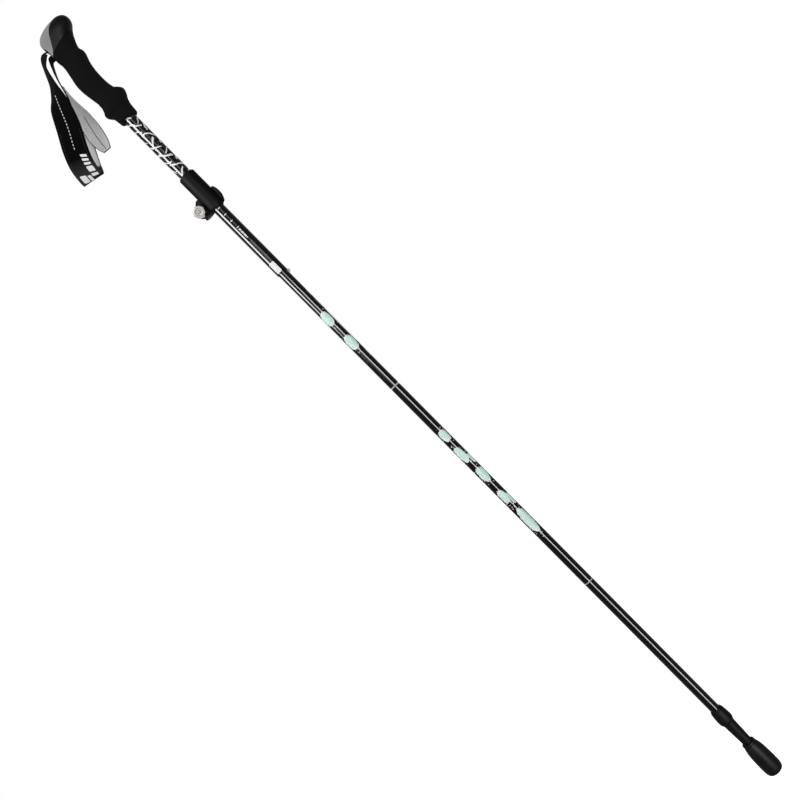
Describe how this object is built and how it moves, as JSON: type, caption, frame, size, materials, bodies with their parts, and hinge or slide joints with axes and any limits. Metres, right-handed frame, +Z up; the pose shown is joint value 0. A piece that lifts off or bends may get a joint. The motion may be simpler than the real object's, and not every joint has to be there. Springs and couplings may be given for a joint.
{
  "type": "trail running pole",
  "caption": "Folding trail running pole with a leaning foam grip, padded wrist strap, flip-lever length lock, telescoping tube and cord-tensioned folding tubes ending in a rubber boot.",
  "frame": {"origin": "centre of the rubber boot's flat sole, on the ground under the upright pole", "axes": "+Z up along the pole, +X the way the head of the grip leans, -X the strap's side"},
  "size_m": [0.1221, 0.0351, 1.1763],
  "materials": {
    "foam": "matt closed-cell foam",
    "head_plastic": "smooth satin",
    "grey_plastic": "smooth satin",
    "matt_plastic": "fine moulded matt",
    "webbing": "woven",
    "lining": "knitted",
    "gloss_black": "gloss lacquer",
    "silver": "machined satin",
    "steel": "satin",
    "cord": "braided",
    "rubber": "matt"
  },
  "bodies": {
    "handle": {"grip_foam": "foam", "head_core": "head_plastic", "head_cap": "grey_plastic", "strap_pin": "steel", "strap_wedge": "matt_plastic", "strap_turn": "webbing", "upper_tube": "gloss_black", "lock_collar": "matt_plastic", "clamp_screw": "steel", "barrel_nut": "steel", "saddle_washer": "matt_plastic", "nut_washer": "matt_plastic"},
    "lever": {"lock_lever": "matt_plastic"},
    "nut": {"tension_nut": "silver"},
    "strap": {"strap_band": "webbing", "strap_band_lining": "lining", "strap_tongue": "webbing", "strap_tongue_lining": "lining"},
    "adjuster": {"adjusting_tube": "gloss_black", "adjusting_tube_plug": "matt_plastic", "adjusting_tube_ring": "gloss_black", "folding_tube_1": "gloss_black", "guide_bush": "matt_plastic", "cord_block": "matt_plastic", "tension_cord": "cord", "button_spring": "steel"},
    "button": {"snap_button": "steel"},
    "middle": {"folding_tube_2": "gloss_black", "upper_ferrule": "silver"},
    "lower": {"folding_tube_3": "gloss_black", "lower_ferrule": "silver", "cord_anchor": "matt_plastic", "tip_sleeve": "matt_plastic", "basket_collar": "matt_plastic", "metal_tip": "steel"},
    "boot": {"rubber_boot": "rubber"}
  },
  "joints": [
    {"name": "lever_flip", "type": "hinge", "parent": "handle", "child": "lever", "pos_m": [-0.01451, 0.0142, 0.9075], "axis": [0, 0, 1], "range_deg": [0, 135]},
    {"name": "nut_turn", "type": "hinge", "parent": "handle", "child": "nut", "pos_m": [-0.01843, -0.00551, 0.9058], "axis": [-0.1951, -0.9808, 0], "continuous": true},
    {"name": "strap_swing", "type": "hinge", "parent": "handle", "child": "strap", "pos_m": [-0.0134, 0, 1.158], "axis": [0, 1, 0], "range_deg": [0, 35]},
    {"name": "length_slide", "type": "slide", "parent": "handle", "child": "adjuster", "axis": [0, 0, -1], "range_m": [-0.095, 0.06]},
    {"name": "button_press", "type": "slide", "parent": "adjuster", "child": "button", "axis": [-1, 0, 0], "range_m": [0, 0.0026], "stiffness_N_per_m": 800, "springref_m": -0.002, "deforming": ["button_spring"]},
    {"name": "upper_joint_pull", "type": "slide", "parent": "adjuster", "child": "middle", "axis": [0, 0, -1], "range_m": [0, 0.038], "stiffness_N_per_m": 300, "springref_m": -0.1, "deforming": ["tension_cord"]},
    {"name": "lower_joint_pull", "type": "slide", "parent": "middle", "child": "lower", "axis": [0, 0, -1], "range_m": [0, 0.038], "stiffness_N_per_m": 300, "springref_m": -0.1, "deforming": ["tension_cord"]},
    {"name": "boot_pull", "type": "slide", "parent": "lower", "child": "boot", "axis": [0, 0, -1], "range_m": [0, 0.04]}
  ]
}
